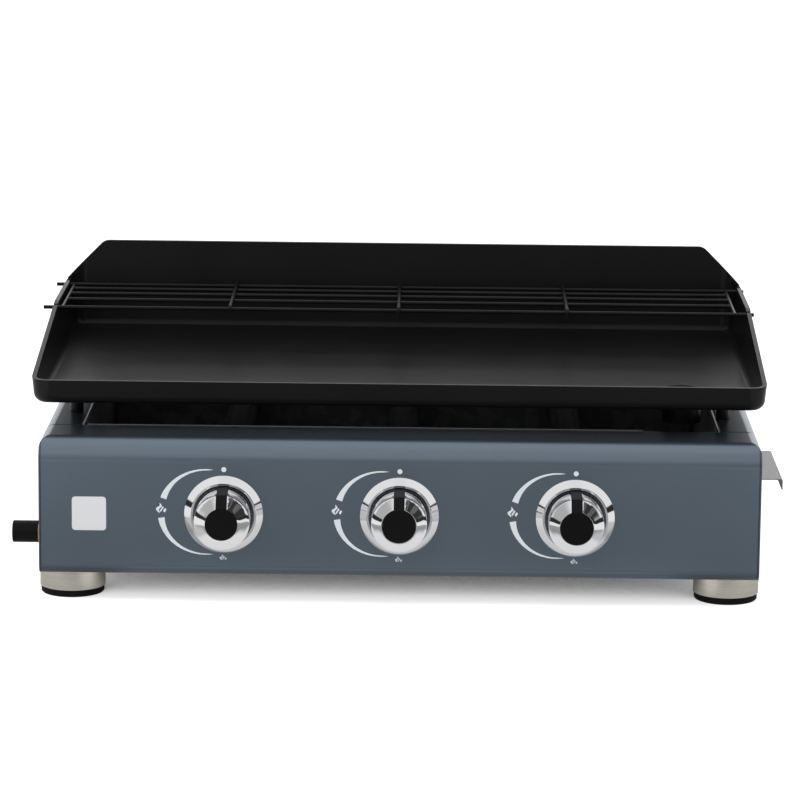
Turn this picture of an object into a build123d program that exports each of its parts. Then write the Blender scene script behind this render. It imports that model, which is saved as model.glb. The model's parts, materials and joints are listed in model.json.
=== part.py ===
from build123d import *
import os
from math import cos, radians, sin, tan

os.makedirs("parts", exist_ok=True)

# A table-top gas griddle, in millimetres: +X to the right, +Y to the back, +Z up, standing on Z = 0.
# The origin is the middle of the footprint, knobs, inlet cap and tray handle included.

# Chassis sizes
chassis_width = 640.0
chassis_depth = 450.0
chassis_height = 122.5
foot_height = 24.5
sheet = 1.5
thin_sheet = 1.2
bend_radius = 3.0
fascia_top_radius = 20.0
fascia_bottom_radius = 8.0
front_flange = 66.0
side_flange = 34.5
rear_flange = 25.0
opening_hem = 12.0
side_round = 8.5
gusset_width = 10.0
gusset_height = 9.0
bottom_return = 22.0
side_base_flange = 50.0
corner_tab = 15.0
panel_proud = 0.6
side_reach = 28.5

# Clearances
assembly_gap = 0.1
hole_gap = 0.2
pass_gap = 1.5
running_gap = 0.05
lift_gap = 0.3

# Screws
screw_radius = 2.0
screw_head_radius = 3.6
screw_head = 2.2
screw_head_round = 0.7
screw_socket = 2.5
screw_socket_depth = 1.1
screw_length = 8.0
rear_screw_rows = 3
rear_screw_pitch = 35.0

# Feet
foot_radius = 29.3
foot_overhang = 2.8
foot_wall = 1.0
foot_setback = 40.0
pad_height = 6.5
pad_spigot = 9.0
pad_chamfer = 1.2
bolt_radius = 3.0
bolt_head_radius = 5.5
bolt_head = 4.0
bolt_socket = 2.5
bolt_socket_depth = 2.0
bolt_recess = 1.5
nut_width = 10.0
nut_height = 5.0

# Knobs, bezels and stems
knob_pitch = 155.8
knob_height = 56.5
knob_reach = 44.0
knob_radius = 25.5
knob_taper = 1.0
knob_wall = 5.5
knob_clear = 5.0
knob_travel = 4.0
knob_cone = 7.5
knob_rim_round = 1.0
knob_pocket_round = 0.6
knob_face = 5.0
hub_radius = 8.0
disc_radius = 14.4
disc_height = 5.5
disc_proud = 0.5
pointer_width = 9.5
pointer_proud = 0.5
pointer_depth = 2.5
pointer_back = 8.5
bezel_radius = 34.9
bezel_bore_gap = 1.5
bezel_height = 7.0
bezel_edge = 1.5
bezel_land = 2.0
bezel_round = 0.65
bezel_pin_radius = 1.5
bezel_pin_circle = 30.5
bezel_pin_length = 4.0
bezel_pins = 3
stem_radius = 4.0
stem_hole = 9.0
collar_radius = 7.0
collar_front = 6.0
collar_length = 2.0
tang_width = 7.0
tang_thickness = 4.0
tang_engage = 12.0

# Valves
valve_front = 22.0
valve_length = 36.0
valve_width = 24.0
cover_thickness = 2.0
plug_radius = 7.0
plug_length = 22.0
plug_setback = 8.0
outlet_rise = 20.0
outlet_radius = 8.0
outlet_length = 24.0
outlet_web = 14.0
gas_bore = 3.0
port_bore = 1.5
saddle_width = 18.0
saddle_length = 28.0
saddle_height = 9.0
saddle_wrap = 3.6
clamp_height = 11.0
clamp_drop = 1.0
clamp_screw_offset = 11.2
clamp_screw_depth = 6.0
nipple_radius = 3.5
neck_radius = 8.0
spring_wire = 1.2
spring_radius = 5.9
spring_turns = 4

# Gas manifold and inlet
rail_setback = 52.0
rail_height = 26.5
rail_radius = 8.6
rail_wall = 2.0
rail_overrun = 30.0
rail_end_gap = 1.5
bracket_thickness = 3.0
bracket_width = 26.0
bracket_foot = 14.0
bracket_x = 78.0
inlet_thread_radius = 8.33
inlet_flats = 19.0
inlet_flange = 5.0
inlet_shank = 24.0
inlet_bore = 4.0
cap_radius = 9.9
cap_wall = 0.65
cap_end = 2.0
cap_plug = 9.0
cap_round = 1.2

# Burners, injectors and ignition
burner_mouth = 74.0
burner_throat_length = 38.0
burner_cone_length = 16.0
burner_length = 331.0
throat_radius = 12.0
burner_radius = 15.0
burner_wall = 1.0
burner_stub_radius = 4.0
burner_stub = 14.0
port_radius = 1.5
port_pitch = 12.0
port_count = 20
port_angle = 35.0
injector_flats = 9.0
injector_length = 10.0
injector_thread = 8.0
injector_jet = 0.8
piezo_size = 12.0
piezo_length = 30.0
electrode_offset = 24.0
electrode_rise = 27.0
electrode_radius = 4.0
electrode_front = 15.0
electrode_back = 34.0
electrode_flange_radius = 7.0
electrode_flange = 2.0
spark_wire = 1.0
spark_reach = 12.0
spark_gap = 4.5
lead_radius = 1.5
lead_run = 10.0
lead_bend = 5.0

# Firebox
firewall_setback = 101.0
firewall_foot = 15.0
shield_rise = 31.0
shield_drop = 2.0
rail_foot = 12.0
burner_rail_rise = 20.0

# Griddle plate
standoff_height = 23.0
standoff_radius = 6.0
standoff_inset = 9.5
standoff_front = 125.0
standoff_rear = 345.0
spigot_radius = 3.0
spigot_length = 6.0
spigot_play = 2.0
plate_shift = -1.75
plate_width = 653.3
plate_depth = 392.0
plate_setback = 42.0
plate_corner = 14.0
plate_thickness = 4.0
plate_bottom_radius = 9.0
plate_inner_radius = 6.0
wall_lean = 5.5
lip_height = 22.0
side_wall_height = 50.0
back_wall_height = 86.5
level_length = 128.0
back_cut_width = 36.0
back_cut_radius = 12.0
drain_inset = 68.9
drain_setback = 130.0
drain_radius = 13.0
drain_chamfer = 3.0
spout_radius = 17.5
spout_wall = 1.5
spout_length = 26.4

# Warming rack
rack_wire = 1.75
rack_drop = 4.2
rack_front = 284.0
rack_gaps = (45.0, 33.0, 28.0, 26.0)
rack_overhang = 6.0
rack_end_gap = 8.0
rack_shift = -5.0
rack_cross_wires = 3
rack_cross_pitch = 160.0
rack_weld = 0.4
rack_hook_front = 5.0
rack_hook_rear = 4.0
rack_hook_gap = 0.2
rack_hook_radius = 3.0

# Grease tray
tray_setback = 108.0
tray_width = 125.0
tray_rim = 7.0
tray_depth = 23.0
tray_height = 70.5
tray_sheet = 1.0
tray_length = 106.0
tray_inset = 8.0
tray_lip = 10.0
tray_lip_round = 2.0
tray_round = 4.0
runner_foot = 12.0
runner_end_gap = 0.3

# Badge
badge_size = 30.5
badge_thickness = 1.2
badge_corner = 3.0
badge_round = 0.4
badge_x = -275.2
badge_height = 55.6

# Vents
vent_length = 30.0
vent_width = 6.0
vent_pitch = 44.0
vent_count = 12
vent_height = 80.0
base_vent_length = 50.0
base_vent_pitch_x = 104.0
base_vent_pitch_y = 70.0
base_vent_columns = 5
base_vent_rows = 4

# Places worked out from the sizes
half_width = chassis_width / 2
panel_x = half_width - sheet
fascia_y = (knob_reach - chassis_depth - screw_head) / 2
rear_y = fascia_y + chassis_depth
bottom_z = foot_height
top_z = bottom_z + chassis_height
base_z = bottom_z + sheet
base_top = base_z + thin_sheet
opening_x = half_width - side_flange
opening_front_y = fascia_y + front_flange
opening_rear_y = rear_y - rear_flange
firewall_y = fascia_y + firewall_setback
firewall_back = firewall_y + thin_sheet
shelf_top = top_z - opening_hem - assembly_gap
shield_z = bottom_z + shield_rise
shield_top = shield_z + thin_sheet
shield_x = opening_x - thin_sheet
knob_z = bottom_z + knob_height
burner_z = knob_z + outlet_rise
rail_y = fascia_y + rail_setback
rail_z = bottom_z + rail_height
foot_x = half_width + foot_overhang - foot_radius
plate_z = top_z + standoff_height
plate_mid_y = fascia_y + plate_setback + plate_depth / 2
lip_z = plate_z + lip_height
side_z = plate_z + side_wall_height
back_z = plate_z + back_wall_height
rack_z = side_z - rack_drop
tray_top = bottom_z + tray_height
tray_y = fascia_y + tray_setback
sides = (-1, 1)
places = ("left", "centre", "right")
knob_xs = (-knob_pitch, 0.0, knob_pitch)
feet = [(sx * foot_x, y) for sx in sides for y in (fascia_y + foot_setback, rear_y - foot_setback)]
standoff_x = opening_x + standoff_inset
spigot_holes = [(sx * standoff_x, fascia_y + y) for sx in sides for y in (standoff_front, standoff_rear)]
standoffs = [(x + plate_shift, y) for x, y in spigot_holes]


def save(piece, name):
    """Labels a finished piece and writes it."""
    piece.label = name
    export_step(piece, f"parts/{name}.step")


def facing(y):
    """The upright plane at depth y that faces the front: X to the right, Z up."""
    return Plane.XZ.offset(-y)


def block(x, y, z, mode=Mode.ADD):
    """A block between two values on each axis."""
    middle = ((x[0] + x[1]) / 2, (y[0] + y[1]) / 2, (z[0] + z[1]) / 2)
    with Locations(middle):
        Box(abs(x[1] - x[0]), abs(y[1] - y[0]), abs(z[1] - z[0]), mode=mode)


def chassis_outline():
    """The chassis seen from the front, with rounded top corners."""
    with BuildSketch(facing(fascia_y)) as outline:
        with Locations((0, (bottom_z + top_z) / 2)):
            Rectangle(chassis_width, chassis_height)
        fillet(vertices().group_by(Axis.Y)[-1], side_round)
    return outline.sketch


def gussets(end, corner, opening, radius):
    """Solid pieces for both ends of a bent panel, under the rounded top corners of the chassis."""
    with BuildPart() as pair:
        for x in (-panel_x + assembly_gap, panel_x - assembly_gap - gusset_width):
            with BuildSketch(Plane.YZ.offset(x)):
                with BuildLine():
                    FilletPolyline(
                        (corner, end),
                        (corner, top_z),
                        (opening, top_z),
                        (opening, top_z - gusset_height),
                        radius=(radius, bend_radius),
                    )
                    Line((opening, top_z - gusset_height), (corner, end))
                make_face()
            extrude(amount=gusset_width)
    return pair.part


# Front panel: one bent sheet from the bottom return, up the fascia and back to the firebox opening
bend_start_z = top_z - fascia_top_radius - sheet
with BuildPart() as front_panel:
    with BuildSketch(Plane.YZ):
        with BuildLine():
            FilletPolyline(
                (fascia_y + bottom_return, bottom_z),
                (fascia_y, bottom_z),
                (fascia_y, top_z),
                (opening_front_y, top_z),
                (opening_front_y, top_z - opening_hem),
                radius=(fascia_bottom_radius, fascia_top_radius, bend_radius),
            )
            offset(amount=sheet, side=Side.RIGHT)
        make_face()
    extrude(amount=panel_x - assembly_gap, both=True)
    add(gussets(bend_start_z, fascia_y, opening_front_y, fascia_top_radius))
    extrude(chassis_outline(), amount=chassis_depth, both=True, mode=Mode.INTERSECT)
    with BuildSketch(facing(fascia_y)):
        for x in knob_xs:
            with Locations((x, knob_z)):
                Circle(stem_hole)
                with PolarLocations(bezel_pin_circle, bezel_pins, start_angle=90):
                    Circle(bezel_pin_radius + hole_gap)
    extrude(amount=-2 * sheet, mode=Mode.SUBTRACT)
save(front_panel.part, "front_panel")


def side_shell(side):
    """A side panel with its top flange and hem, base flange and corner tabs."""
    inner = side * panel_x
    with BuildPart() as shell:
        with BuildSketch(Plane.YZ.offset(inner)):
            with BuildLine():
                FilletPolyline(
                    (rear_y, bottom_z),
                    (fascia_y - panel_proud, bottom_z),
                    (fascia_y - panel_proud, top_z),
                    (rear_y, top_z),
                    radius=(fascia_bottom_radius + panel_proud, fascia_top_radius + panel_proud),
                )
                Line((rear_y, top_z), (rear_y, bottom_z))
            make_face()
        extrude(amount=side * sheet)
        flange_y = (opening_front_y + assembly_gap, opening_rear_y - assembly_gap)
        with BuildSketch(facing(flange_y[0])):
            with BuildLine():
                FilletPolyline(
                    (side * half_width, top_z - 2 * side_round),
                    (side * half_width, top_z),
                    (side * opening_x, top_z),
                    (side * opening_x, top_z - opening_hem),
                    radius=(side_round, bend_radius),
                )
                offset(amount=sheet, side=Side.LEFT if side > 0 else Side.RIGHT)
            make_face()
        extrude(amount=flange_y[0] - flange_y[1])
        base_y = (fascia_y + bottom_return + assembly_gap, rear_y - bottom_return - assembly_gap)
        block((inner - side * side_base_flange, inner), base_y, (bottom_z, base_z))
        tab_x = (inner - side * corner_tab, inner)
        block(
            tab_x,
            (fascia_y + sheet, fascia_y + 2 * sheet),
            (bottom_z + fascia_bottom_radius, bend_start_z - assembly_gap),
        )
        block(
            tab_x,
            (rear_y - 2 * sheet, rear_y - sheet),
            (bottom_z + fascia_bottom_radius, top_z - opening_hem),
        )
        extrude(chassis_outline(), amount=chassis_depth, both=True, mode=Mode.INTERSECT)
        with BuildSketch(Plane.XY.offset(top_z)):
            with Locations(*[spot for spot in spigot_holes if spot[0] * side > 0]):
                Circle(spigot_radius + spigot_play)
        extrude(amount=-2 * sheet, mode=Mode.SUBTRACT)
        with BuildSketch(Plane.XY.offset(bottom_z)):
            with Locations(*[spot for spot in feet if spot[0] * side > 0]):
                Circle(bolt_radius + hole_gap)
        extrude(amount=sheet, mode=Mode.SUBTRACT)
        with BuildSketch(facing(rear_y)):
            with Locations((side * (panel_x - corner_tab / 2), (bottom_z + top_z) / 2)):
                with GridLocations(0, rear_screw_pitch, 1, rear_screw_rows):
                    Circle(screw_radius + hole_gap)
        extrude(amount=2 * sheet, mode=Mode.SUBTRACT)
    return shell.part


with BuildPart() as left_side_panel:
    add(side_shell(-1))
    with BuildSketch(Plane.YZ.offset(-panel_x)):
        with Locations((rail_y, rail_z)):
            Circle(rail_radius - rail_wall + hole_gap)
    extrude(amount=-sheet, mode=Mode.SUBTRACT)
save(left_side_panel.part, "left_side_panel")

tray_slot_y = (tray_y - pass_gap, tray_y + tray_width + pass_gap)
tray_slot_z = (tray_top - tray_depth - pass_gap, tray_top + pass_gap)

with BuildPart() as right_side_panel:
    add(side_shell(1))
    block((panel_x, half_width), tray_slot_y, tray_slot_z, mode=Mode.SUBTRACT)
save(right_side_panel.part, "right_side_panel")

# Rear panel: one bent sheet with a row of air slots
with BuildPart() as rear_panel:
    with BuildSketch(Plane.YZ):
        with BuildLine():
            FilletPolyline(
                (rear_y - bottom_return, bottom_z),
                (rear_y, bottom_z),
                (rear_y, top_z),
                (opening_rear_y, top_z),
                (opening_rear_y, top_z - opening_hem),
                radius=bend_radius,
            )
            offset(amount=sheet, side=Side.LEFT)
        make_face()
    extrude(amount=panel_x - assembly_gap, both=True)
    add(gussets(top_z - gusset_height, rear_y, opening_rear_y, bend_radius))
    extrude(chassis_outline(), amount=chassis_depth, both=True, mode=Mode.INTERSECT)
    with BuildSketch(facing(rear_y)):
        with Locations((0, bottom_z + vent_height)):
            with GridLocations(vent_pitch, 0, vent_count, 1):
                SlotOverall(vent_length, vent_width)
        for side in sides:
            with Locations((side * (panel_x - corner_tab / 2), (bottom_z + top_z) / 2)):
                with GridLocations(0, rear_screw_pitch, 1, rear_screw_rows):
                    Circle(screw_radius + hole_gap)
    extrude(amount=sheet, mode=Mode.SUBTRACT)
save(rear_panel.part, "rear_panel")

# Base pan: a flat sheet on the bottom returns, with air slots between the brackets and feet
with BuildPart() as base_pan:
    block(
        (-panel_x + assembly_gap, panel_x - assembly_gap),
        (fascia_y + fascia_bottom_radius, rear_y - 2 * bend_radius),
        (base_z, base_top),
    )
    with BuildSketch(Plane.XY.offset(base_z)):
        with Locations((0, (firewall_y + opening_rear_y) / 2)):
            with GridLocations(base_vent_pitch_x, base_vent_pitch_y, base_vent_columns, base_vent_rows):
                SlotOverall(base_vent_length, vent_width)
        with Locations(*feet):
            Circle(bolt_radius + hole_gap)
    extrude(amount=thin_sheet, mode=Mode.SUBTRACT)
save(base_pan.part, "base_pan")

# Firewall: an upright sheet behind the valves and a shelf under the front hem, with holes for the
# burner throats and electrodes
firewall_x = shield_x - assembly_gap
with BuildPart() as firewall:
    block((-firewall_x, firewall_x), (firewall_y, firewall_back), (base_top, shelf_top))
    block(
        (-firewall_x, firewall_x),
        (firewall_y - firewall_foot, firewall_y),
        (base_top, base_top + thin_sheet),
    )
    block(
        (-firewall_x, firewall_x),
        (opening_front_y - sheet, firewall_back),
        (shelf_top - thin_sheet, shelf_top),
    )
    with BuildSketch(facing(firewall_y)):
        with Locations(*[(x, burner_z) for x in knob_xs]):
            Circle(throat_radius + hole_gap)
        with Locations(*[(x + electrode_offset, knob_z + electrode_rise) for x in knob_xs]):
            Circle(electrode_radius + hole_gap)
    extrude(amount=-thin_sheet, mode=Mode.SUBTRACT)
save(firewall.part, "firewall")

# Heat shield: the firebox tray below the burners, open at the front, screwed to the flange hems
with BuildPart() as heat_shield:
    block((-opening_x, opening_x), (firewall_back, opening_rear_y), (shield_z, top_z - shield_drop))
    block(
        (-shield_x, shield_x),
        (firewall_back, opening_rear_y - thin_sheet),
        (shield_top, top_z),
        mode=Mode.SUBTRACT,
    )
    block((shield_x, opening_x), tray_slot_y, tray_slot_z, mode=Mode.SUBTRACT)
save(heat_shield.part, "heat_shield")

# Burner rail: an angle on the heat shield that carries the rear studs of the burners
burner_end_y = fascia_y + burner_mouth + burner_length
burner_rail_x = shield_x - pass_gap
with BuildPart() as burner_rail:
    block(
        (-burner_rail_x, burner_rail_x),
        (burner_end_y, burner_end_y + thin_sheet),
        (shield_top, burner_z + burner_rail_rise),
    )
    block(
        (-burner_rail_x, burner_rail_x),
        (burner_end_y - rail_foot, burner_end_y),
        (shield_top, shield_top + thin_sheet),
    )
    with BuildSketch(facing(burner_end_y)):
        with Locations(*[(x, burner_z) for x in knob_xs]):
            Circle(burner_stub_radius + hole_gap)
    extrude(amount=-thin_sheet, mode=Mode.SUBTRACT)
save(burner_rail.part, "burner_rail")

# Burners: closed tubes with a narrow throat, two rows of flame ports and a rear stud
for x, place in zip(knob_xs, places):
    throat_end = burner_mouth + burner_throat_length
    tube_start = throat_end + burner_cone_length
    tube_end = burner_mouth + burner_length
    throat_bore = throat_radius - burner_wall
    tube_bore = burner_radius - burner_wall
    with BuildPart() as burner:
        with BuildSketch(Plane(origin=(x, fascia_y, burner_z))):
            with BuildLine():
                Polyline(
                    (throat_bore, burner_mouth),
                    (throat_radius, burner_mouth),
                    (throat_radius, throat_end),
                    (burner_radius, tube_start),
                    (burner_radius, tube_end),
                    (burner_stub_radius, tube_end),
                    (burner_stub_radius, tube_end + burner_stub),
                    (0, tube_end + burner_stub),
                    (0, tube_end - burner_wall),
                    (tube_bore, tube_end - burner_wall),
                    (tube_bore, tube_start),
                    (throat_bore, throat_end),
                    close=True,
                )
            make_face()
        revolve(axis=Axis((x, 0, burner_z), (0, 1, 0)))
        for side in sides:
            outward = (side * sin(radians(port_angle)), 0, cos(radians(port_angle)))
            middle = (x, fascia_y + (tube_start + tube_end) / 2, burner_z)
            with BuildSketch(Plane(origin=middle, x_dir=(0, 1, 0), z_dir=outward)):
                with GridLocations(port_pitch, 0, port_count, 1):
                    Circle(port_radius)
            extrude(amount=burner_radius + burner_wall, mode=Mode.SUBTRACT)
    save(burner.part, f"burner_{place}")

with BuildPart() as burner_nuts:
    with BuildSketch(facing(burner_end_y + thin_sheet)):
        with Locations(*[(x, burner_z) for x in knob_xs]):
            RegularPolygon(nut_width / 2 + burner_wall, 6, major_radius=False)
            Circle(burner_stub_radius + running_gap, mode=Mode.SUBTRACT)
    extrude(amount=-nut_height)
save(burner_nuts.part, "burner_nuts")

# Gas manifold: a closed pipe under the valves, with a hole for each valve's inlet nipple
rail_left = -panel_x + rail_end_gap
rail_right = knob_xs[-1] + rail_overrun
with BuildPart() as gas_manifold:
    with BuildSketch(Plane.YZ.offset(rail_left)):
        with Locations((rail_y, rail_z)):
            Circle(rail_radius)
    extrude(amount=rail_right - rail_left)
    with BuildSketch(Plane.YZ.offset(rail_left)):
        with Locations((rail_y, rail_z)):
            Circle(rail_radius - rail_wall)
    extrude(amount=rail_right - rail_left - rail_wall, mode=Mode.SUBTRACT)
    with BuildSketch(Plane.XY.offset(rail_z)):
        with Locations(*[(x, rail_y) for x in knob_xs]):
            Circle(nipple_radius + hole_gap)
    extrude(amount=rail_radius + rail_wall, mode=Mode.SUBTRACT)
save(gas_manifold.part, "gas_manifold")

with BuildPart() as manifold_brackets:
    for side in sides:
        bracket = (side * bracket_x, side * (bracket_x + bracket_thickness))
        block(
            bracket,
            (rail_y - bracket_width / 2, rail_y + bracket_width / 2),
            (base_top, rail_z + rail_radius + bracket_thickness),
        )
        block(
            (side * bracket_x, side * (bracket_x + bracket_foot)),
            (rail_y - bracket_width / 2, rail_y + bracket_width / 2),
            (base_top, base_top + bracket_thickness),
        )
    with BuildSketch(Plane.YZ):
        with Locations((rail_y, rail_z)):
            Circle(rail_radius + running_gap)
    extrude(amount=half_width, both=True, mode=Mode.SUBTRACT)
save(manifold_brackets.part, "manifold_brackets")

# Inlet: a brass connector in the end of the manifold, with a male pipe thread for the gas hose
flange_x = -half_width - inlet_flange
thread_end = -half_width - side_reach + cap_end + lift_gap
with BuildPart() as inlet_connector:
    with BuildSketch(Plane.YZ.offset(-half_width)):
        with Locations((rail_y, rail_z)):
            RegularPolygon(inlet_flats / 2, 6, major_radius=False, rotation=30)
    extrude(amount=-inlet_flange)
    with BuildSketch(Plane.YZ.offset(flange_x)):
        with Locations((rail_y, rail_z)):
            Circle(inlet_thread_radius)
    extrude(amount=thread_end - flange_x)
    with BuildSketch(Plane.YZ.offset(-half_width)):
        with Locations((rail_y, rail_z)):
            Circle(rail_radius - rail_wall - running_gap)
    extrude(amount=inlet_shank)
    with BuildSketch(Plane.YZ.offset(thread_end)):
        with Locations((rail_y, rail_z)):
            Circle(inlet_bore)
    extrude(amount=inlet_shank - half_width - thread_end, mode=Mode.SUBTRACT)
save(inlet_connector.part, "inlet_connector")

# Inlet cap: a thin skirt round the thread and a plug that grips in the gas bore
with BuildPart() as inlet_cap:
    cap_mouth = flange_x - lift_gap
    cap_tip = -half_width - side_reach
    with BuildSketch(Plane.YZ.offset(cap_mouth)):
        with Locations((rail_y, rail_z)):
            Circle(cap_radius)
    extrude(amount=cap_tip - cap_mouth)
    fillet(edges().group_by(Axis.X)[0], cap_round)
    with BuildSketch(Plane.YZ.offset(cap_mouth)):
        with Locations((rail_y, rail_z)):
            Circle(cap_radius - cap_wall)
    extrude(amount=cap_tip + cap_end - cap_mouth, mode=Mode.SUBTRACT)
    with BuildSketch(Plane.YZ.offset(cap_tip)):
        with Locations((rail_y, rail_z)):
            Circle(inlet_bore - running_gap)
    extrude(amount=cap_end + cap_plug)
save(inlet_cap.part, "inlet_cap")

# Valves: a block with the plug's bore, a raised outlet and a saddle on the manifold
valve_y = (fascia_y + valve_front, fascia_y + valve_front + valve_length)
plug_y = fascia_y + valve_front + plug_setback
outlet_y = valve_y[1] - outlet_web
outlet_end = outlet_y + outlet_length
saddle_base = rail_z + rail_radius - saddle_wrap
for x, place in zip(knob_xs, places):
    with BuildPart() as valve_body:
        wide = (x - valve_width / 2, x + valve_width / 2)
        block(wide, valve_y, (knob_z - valve_width / 2, knob_z + valve_width / 2))
        web = (x - outlet_web / 2, x + outlet_web / 2)
        block(web, (outlet_y, valve_y[1]), (knob_z, burner_z))
        with BuildSketch(facing(outlet_y)):
            with Locations((x, burner_z)):
                Circle(outlet_radius)
        extrude(amount=-outlet_length)
        with BuildSketch(Plane.XY.offset(saddle_base)):
            with Locations((x, rail_y)):
                Rectangle(saddle_width, saddle_length)
        extrude(amount=saddle_height)
        with BuildSketch(Plane.XY.offset(saddle_base)):
            with Locations((x, rail_y)):
                Circle(neck_radius)
        extrude(amount=knob_z - saddle_base)
        with BuildSketch(Plane.YZ.offset(x)):
            with Locations((rail_y, rail_z)):
                Circle(rail_radius + running_gap)
        extrude(amount=saddle_width, both=True, mode=Mode.SUBTRACT)
        with BuildSketch(Plane.XY.offset(rail_z + rail_radius - rail_wall)):
            with Locations((x, rail_y)):
                Circle(nipple_radius)
        extrude(amount=saddle_height)
        with BuildSketch(facing(valve_y[0])):
            with Locations((x, knob_z)):
                Circle(plug_radius)
        extrude(amount=-plug_setback - plug_length - hole_gap, mode=Mode.SUBTRACT)
        with BuildSketch(Plane.XY.offset(rail_z)):
            with Locations((x, rail_y)):
                Circle(port_bore)
            with Locations((x, outlet_y + outlet_web / 2)):
                Circle(port_bore)
        extrude(amount=burner_z - rail_z, mode=Mode.SUBTRACT)
        with BuildSketch(facing(outlet_end)):
            with Locations((x, burner_z)):
                Circle(gas_bore)
        extrude(amount=outlet_length - outlet_web / 2, mode=Mode.SUBTRACT)
        with BuildSketch(Plane.XY.offset(saddle_base)):
            with Locations((x, rail_y)):
                with GridLocations(0, 2 * clamp_screw_offset, 1, 2):
                    Circle(screw_radius + running_gap)
        extrude(amount=clamp_screw_depth, mode=Mode.SUBTRACT)
    save(valve_body.part, f"valve_body_{place}")

with BuildPart() as valve_covers:
    with BuildSketch(facing(valve_y[0])):
        with Locations(*[(x, knob_z) for x in knob_xs]):
            RectangleRounded(valve_width, valve_width, cover_thickness)
            Circle(stem_radius + running_gap, mode=Mode.SUBTRACT)
    extrude(amount=cover_thickness)
save(valve_covers.part, "valve_covers")

clamp_top = rail_z - clamp_drop
with BuildPart() as valve_clamps:
    with BuildSketch(Plane.XY.offset(clamp_top)):
        with Locations(*[(x, rail_y) for x in knob_xs]):
            Rectangle(saddle_width, saddle_length)
            with GridLocations(0, 2 * clamp_screw_offset, 1, 2):
                Circle(screw_radius + hole_gap, mode=Mode.SUBTRACT)
    extrude(amount=-clamp_height)
    with BuildSketch(Plane.YZ):
        with Locations((rail_y, rail_z)):
            Circle(rail_radius + running_gap)
    extrude(amount=half_width, both=True, mode=Mode.SUBTRACT)
save(valve_clamps.part, "valve_clamps")

with BuildPart() as clamp_screws:
    with BuildSketch(Plane.XY.offset(clamp_top - clamp_height)):
        with Locations(*[(x, rail_y) for x in knob_xs]):
            with GridLocations(0, 2 * clamp_screw_offset, 1, 2):
                Circle(screw_head_radius)
    extrude(amount=-screw_head)
    with BuildSketch(Plane.XY.offset(clamp_top - clamp_height)):
        with Locations(*[(x, rail_y) for x in knob_xs]):
            with GridLocations(0, 2 * clamp_screw_offset, 1, 2):
                Circle(screw_radius)
    extrude(amount=saddle_base + clamp_screw_depth - lift_gap - clamp_top + clamp_height)
save(clamp_screws.part, "clamp_screws")

# Plugs turn in the valves, stems slide in the plugs, and springs push the stems out again
slot_depth = tang_engage + knob_travel + lift_gap
collar_back = fascia_y + collar_front + collar_length
cover_front = valve_y[0] - cover_thickness
spring_length = cover_front - collar_back
disc_seat = -knob_reach + disc_height
cavity_y = disc_seat + knob_face
stem_tip = fascia_y + cavity_y + assembly_gap
stem_end = plug_y - knob_travel - lift_gap
for x, place in zip(knob_xs, places):
    with BuildPart() as valve_plug:
        with BuildSketch(facing(plug_y)):
            with Locations((x, knob_z)):
                Circle(plug_radius - running_gap)
        extrude(amount=-plug_length)
        with BuildSketch(facing(plug_y)):
            with Locations((x, knob_z)):
                Rectangle(tang_thickness + 2 * running_gap, tang_width + 2 * running_gap)
        extrude(amount=-slot_depth, mode=Mode.SUBTRACT)
    save(valve_plug.part, f"valve_plug_{place}")

    with BuildPart() as valve_stem:
        with BuildSketch(facing(stem_tip)):
            with Locations((x, knob_z)):
                Circle(stem_radius)
        extrude(amount=stem_tip - stem_end)
        with BuildSketch(facing(fascia_y + collar_front)):
            with Locations((x, knob_z)):
                Circle(collar_radius)
        extrude(amount=-collar_length)
        with BuildSketch(facing(stem_end)):
            with Locations((x, knob_z)):
                Rectangle(tang_thickness, tang_width)
        extrude(amount=stem_end - plug_y - tang_engage)
    save(valve_stem.part, f"valve_stem_{place}")

    with BuildPart() as return_spring:
        with BuildLine():
            turns = Helix(
                pitch=(spring_length - spring_wire) / spring_turns,
                height=spring_length - spring_wire,
                radius=spring_radius,
                center=(x, collar_back + spring_wire / 2, knob_z),
                direction=(0, 1, 0),
            )
        with BuildSketch(Plane(origin=turns @ 0, z_dir=turns % 0)):
            Circle(spring_wire / 2 - running_gap)
        sweep(path=turns, is_frenet=True)
    save(return_spring.part, f"return_spring_{place}")

# Knobs: a chromed cup with a conical face, and a black pointer let into its face and side
knob_back = -knob_clear
face_y = -knob_reach + disc_proud
rim_y = face_y + knob_cone
rim_radius = knob_radius - knob_taper
hub_bore = stem_radius + running_gap
pointer_gap = 2 * assembly_gap


def pointer_inside(gap):
    """The inner edge of the pointer's side view, from its back end to the disc, moved in by a gap."""
    return [
        (-pointer_back + gap, knob_radius - pointer_depth - gap),
        (rim_y + pointer_depth / 2 + gap, rim_radius - pointer_depth - gap),
        (disc_seat, disc_radius - pointer_depth),
    ]


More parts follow.
